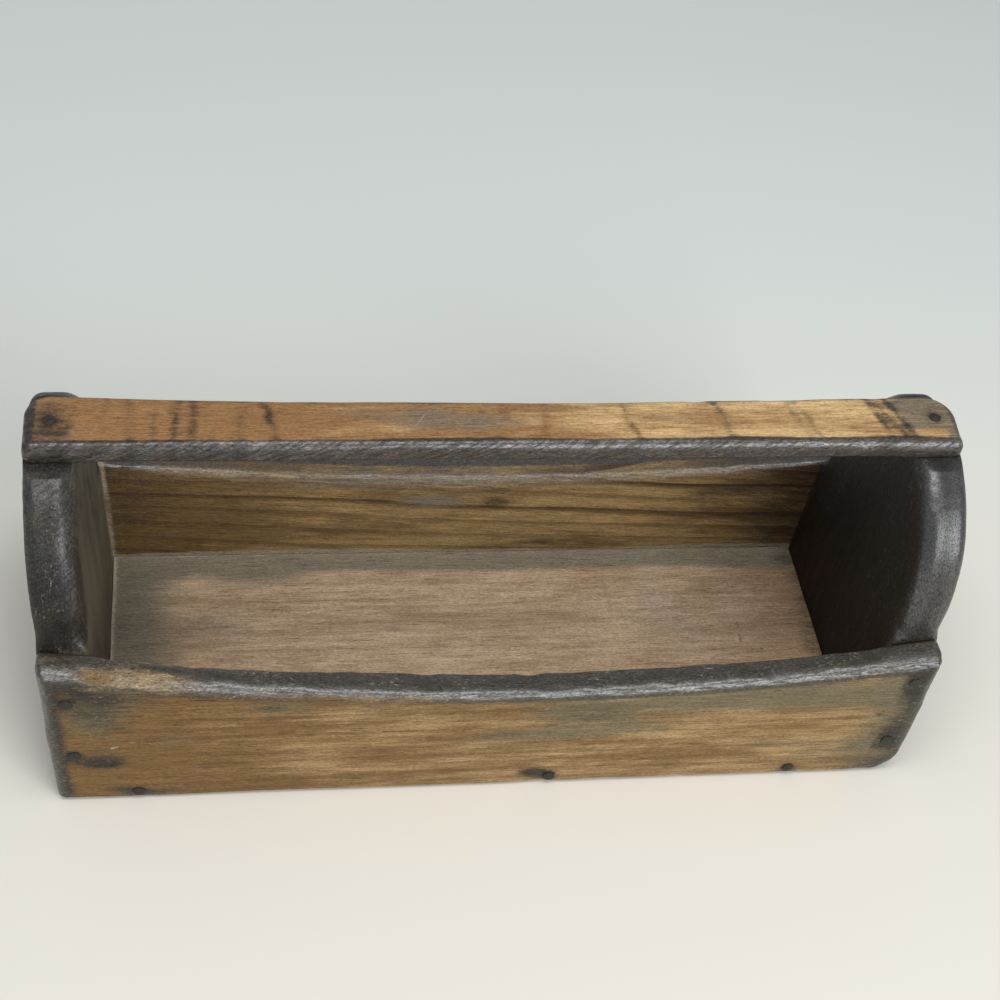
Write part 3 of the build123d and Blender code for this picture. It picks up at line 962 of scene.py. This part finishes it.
share = drawn_to_ends(340, 0.55)[:, None]
width_share = drawn_to_ends(46, 0.6)[None]
handle_x = HANDLE_HALF_LENGTH * (2 * share - 1) + 0 * width_share
back_edge = HANDLE_HALF_WIDTH - BACK_HOLLOW * (1 - (handle_x / HANDLE_HALF_LENGTH) ** 2)
handle_y = -HANDLE_HALF_WIDTH + (back_edge + HANDLE_HALF_WIDTH) * width_share
for end, back_corner in zip((-1, 1), BACK_CORNERS.values()):
    from_end = HANDLE_HALF_LENGTH - end * handle_x
    pull_in, pull_over = round_corner(from_end, back_edge - handle_y, back_corner)
    handle_x, handle_y = handle_x - end * pull_in, handle_y - pull_over
    from_end = HANDLE_HALF_LENGTH - end * handle_x
    pull_in, pull_over = round_corner(from_end, handle_y + HANDLE_HALF_WIDTH, FRONT_CORNER)
    handle_x, handle_y = handle_x - end * pull_in, handle_y + pull_over


def handle_place(x, y, level):
    """Level 0 is the underside, on the arches' seats."""
    return x, y, SEAT_HEIGHT + level


def handle_radius(x, y, top):
    """A full round along the top of the front edge, and less behind."""
    front = eased(y, 0, -14)
    upper = 3.6 + 1.6 * front + 0.5 * np.sin(x / 27.0)
    return np.where(top, upper, 1.3)


def handle_relief(site, depth, under, top):
    """Waves, chips off the arrises, and a hollow round each nail."""
    x, y = site[:, 0], site[:, 1]
    seated = eased(abs(x), 200, 206) * ~top
    broad = 0.5 + 0.5 * soft_noise(site, (45, 16, 12), 91)
    near_rim = bell(np.hypot(depth, under), 6)
    chip = eased(soft_noise(site, (14, 5, 5), 92), 0.3, 0.85)
    hollow = top * 0.5 * blots(abs(x), y, [(HANDLE_NAIL_X, 2, 5, 5, 1)], 0)
    worn = 0.22 * broad + near_rim * (0.4 * broad + 0.4 * chip)
    return (1 - seated) * worn + hollow


def handle_marks(site, depth, under, top):
    """Black front edge and ends, cross bars, a smoky patch left of the middle."""
    x, y = site[:, 0], site[:, 1]
    cloud = soft_noise(site, (40, 9, 9), 94)
    torn = 0.5 * abs(soft_noise(site, (16, 5, 8), 95)) - 0.25
    front = eased(y + 0.8 * cloud, -13.2, -15.2)
    left = eased(x + 4 * cloud, -209, -215)
    strip = eased(y, -7, -10) * eased(x, 232, 226)
    right = eased(x + 5 * cloud - 0.35 * y, 196, 212) * (1 - strip)
    tips = np.maximum(eased(-x, 229, 234), 0.7 * eased(x, 230, 236))
    patch = blots(x, y, [(-28, -2, 36, 7, 0.75), (-70, 5, 20, 4, 0.4), (30, 8, 30, 3, 0.3)], torn)
    bars = np.zeros(len(x))
    for middle, half_width, slant, strength in HANDLE_BARS:
        wobble = middle + slant * y + 1.3 * soft_noise(site, (400, 6, 400), middle)
        fade = 0.75 + 0.4 * soft_noise(site, (400, 7, 400), middle + 5)
        bars += strength * fade * bell(x - wobble, 1.4 * half_width)
    back = eased(y + 1.2 * cloud - 18 + BACK_HOLLOW * (1 - (x / HANDLE_HALF_LENGTH) ** 2), -2.5, 0)
    patchy = 0.5 + 0.35 * cloud + 0.8 * torn
    ends = (left + 0.45 * right) * patchy
    black = np.maximum.reduce([front, ends, tips, 0.7 * back, 0.8 * ~top])
    spots = [(-HANDLE_NAIL_X, 0, 6, 6, 0.6), (HANDLE_NAIL_X, 0, 6, 6, 0.4), (-14, 5, 2, 1.6, 0.7)]
    oranger = 0.2 * eased(x + 20 * cloud, 20, -190) - 1.4 * eased(x, -10, 130)
    return {
        "deep": 0.5 + oranger + 0.15 * cloud + 0.9 * bars,
        "grey": 1.1 * patch + 0.28 * eased(cloud, 0.1, 0.9) + 0.3 * back + right + 0.25 * left,
        "soot": 0.95 * black + 0.85 * np.clip(bars, 0, 0.8) + blots(x, y, spots, 0),
        "dust": 0.12 * eased(cloud, 0.3, 0.9) * front + 0.3 * right * eased(cloud, 0.2, 0.8),
    }


handle_colours = {
    "Pale Wood": (0.62, 0.42, 0.195),
    "Deep Wood": (0.27, 0.14, 0.054),
    "Ring Colour": (0.23, 0.125, 0.06),
    "Grey": (0.17, 0.138, 0.095),
    "Soot": (0.016, 0.013, 0.011),
    "Soot Fleck": (0.15, 0.123, 0.083),
    "Dust": (0.3, 0.26, 0.2),
}
handle_scratches = [
    ((-48, -5, HANDLE_TOP), (-42, 4, HANDLE_TOP), 0.5, PALE_SCRATCH, 0.4),
    ((-60, -19, SEAT_HEIGHT + 2.2), (150, -19, SEAT_HEIGHT + 2.6), 0.6, DARK_CRACK, 0.7),
]
handle_wood = wood_material(
    "handle wood", GRAIN_ALONG_FLAT, handle_colours, (0.0085, 0.008, 0.18), 1.3, 0.4, 0.7,
    scratches=handle_scratches,
)
handle = worn_board(
    "handle_board", handle_x, handle_y, HANDLE_THICKNESS, 14, handle_place, handle_radius,
    handle_relief, handle_marks,
)
handle.data.materials.append(handle_wood)
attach(handle, "root")
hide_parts("handle_board")

# ---------------------------------------------------------------------- nails
# Flat-headed iron nails, rusted dark and a little sunk in their hollows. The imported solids
# have the right shape and stay, with an iron that is brown in its pits and rubbed on top.
iron = bpy.data.materials.new("rusty iron")
iron.use_nodes = True
tree = iron.node_tree
shader = tree.nodes["Principled BSDF"]
place = put(tree, "TexCoord").outputs["Object"]
blotch = noise(tree, place, (500, 500, 500), 4, 0.65)
pits = noise(tree, place, (1800, 1800, 1800), 3, 0.6)
rust = stretch(tree, blotch, 0.42, 0.6)
colour = blend(tree, rust, rgb(0.045, 0.045, 0.041), rgb(0.036, 0.021, 0.014))
colour = blend(tree, stretch(tree, pits, 0.58, 0.72), colour, rgb(0.11, 0.1, 0.085))
metal = weighed(tree, 0.85, (rust, -0.7))
rough = weighed(tree, 0.45, (rust, 0.3))
uneven = weighed(tree, blotch, (pits, 0.6))
relief = put(tree, "Bump", {"Height": uneven, "Strength": 0.9, "Distance": 0.3 * MILLIMETRE})
for socket, value in {"Base Color": colour, "Metallic": metal, "Roughness": rough}.items():
    tree.links.new(value, shader.inputs[socket])
tree.links.new(relief.outputs[0], shader.inputs["Normal"])
for name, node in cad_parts.items():
    if "nail" in name:
        node.data.materials.clear()
        node.data.materials.append(iron)

# --------------------------------------------------------- floor, light, camera
# A pale floor, a large soft window at the front right, a lamp overhead, and a camera where
# the photograph's lines meet: a little left of the middle, looking down at 45 degrees.
FLOOR_HALF = 6.0
floor_points = FLOOR_HALF * np.array([(-1, -1, 0), (1, -1, 0), (1, 1, 0), (-1, 1, 0)])
floor_mesh = bpy.data.meshes.new("floor")
floor_mesh.from_pydata(floor_points, [], [(0, 1, 2, 3)])
floor = bpy.data.objects.new("floor", floor_mesh)
bpy.context.collection.objects.link(floor)
paper = bpy.data.materials.new("pale floor")
paper.use_nodes = True
tree = paper.node_tree
place = put(tree, "TexCoord").outputs["Object"]
apart = put(tree, "SeparateXYZ", {0: place}).outputs
further = stretch(tree, apart[1], -0.1, 0.45)
colour = blend(tree, further, rgb(0.75, 0.71, 0.63), rgb(0.68, 0.715, 0.675))
shader = tree.nodes["Principled BSDF"]
tree.links.new(colour, shader.inputs["Base Color"])
shader.inputs["Roughness"].default_value = 0.75
floor_mesh.materials.append(paper)

world = bpy.data.worlds.new("pale room")
world.use_nodes = True
background = world.node_tree.nodes["Background"].inputs
background["Color"].default_value = rgb(0.86, 0.9, 0.95)
background["Strength"].default_value = 0.44
bpy.context.scene.world = world


def soft_lamp(name, place, turn, size, power, colour):
    """A rectangular area lamp that shines along its own -Z, after its turn in degrees."""
    light = bpy.data.lights.new(name, "AREA")
    light.shape = "RECTANGLE"
    light.size, light.size_y = size
    light.energy = power
    light.color = colour
    lamp = bpy.data.objects.new(name, light)
    lamp.location = place
    lamp.rotation_euler = [radians(angle) for angle in turn]
    bpy.context.collection.objects.link(lamp)


soft_lamp("window", (1.0, -2.1, 1.3), (61.5, 0, 25.5), (1.7, 1.5), 47, (0.95, 0.98, 1.0))
soft_lamp("overhead", (-0.1, -0.35, 1.9), (7, 0, -6), (1.3, 0.7), 17, (1.0, 1.0, 1.0))

bpy.context.scene.view_settings.view_transform = "Standard"
FOCAL_PIXELS = 1778.9
IMAGE_PIXELS = 1000
HEADING, DOWN, ROLL = radians(-13.46), radians(45.05), radians(9.02)
lens = bpy.data.cameras.new("camera")
lens.sensor_width = 36.0
lens.lens = lens.sensor_width * FOCAL_PIXELS / IMAGE_PIXELS
camera = bpy.data.objects.new("camera", lens)
camera.location = (-0.15217, -0.64129, 0.79100)
aim = Matrix.Rotation(HEADING, 4, "Z") @ Matrix.Rotation(radians(90) - DOWN, 4, "X")
camera.rotation_euler = (aim @ Matrix.Rotation(ROLL, 4, "Z")).to_euler()
bpy.context.collection.objects.link(camera)
bpy.context.scene.camera = camera

bpy.context.view_layer.update()
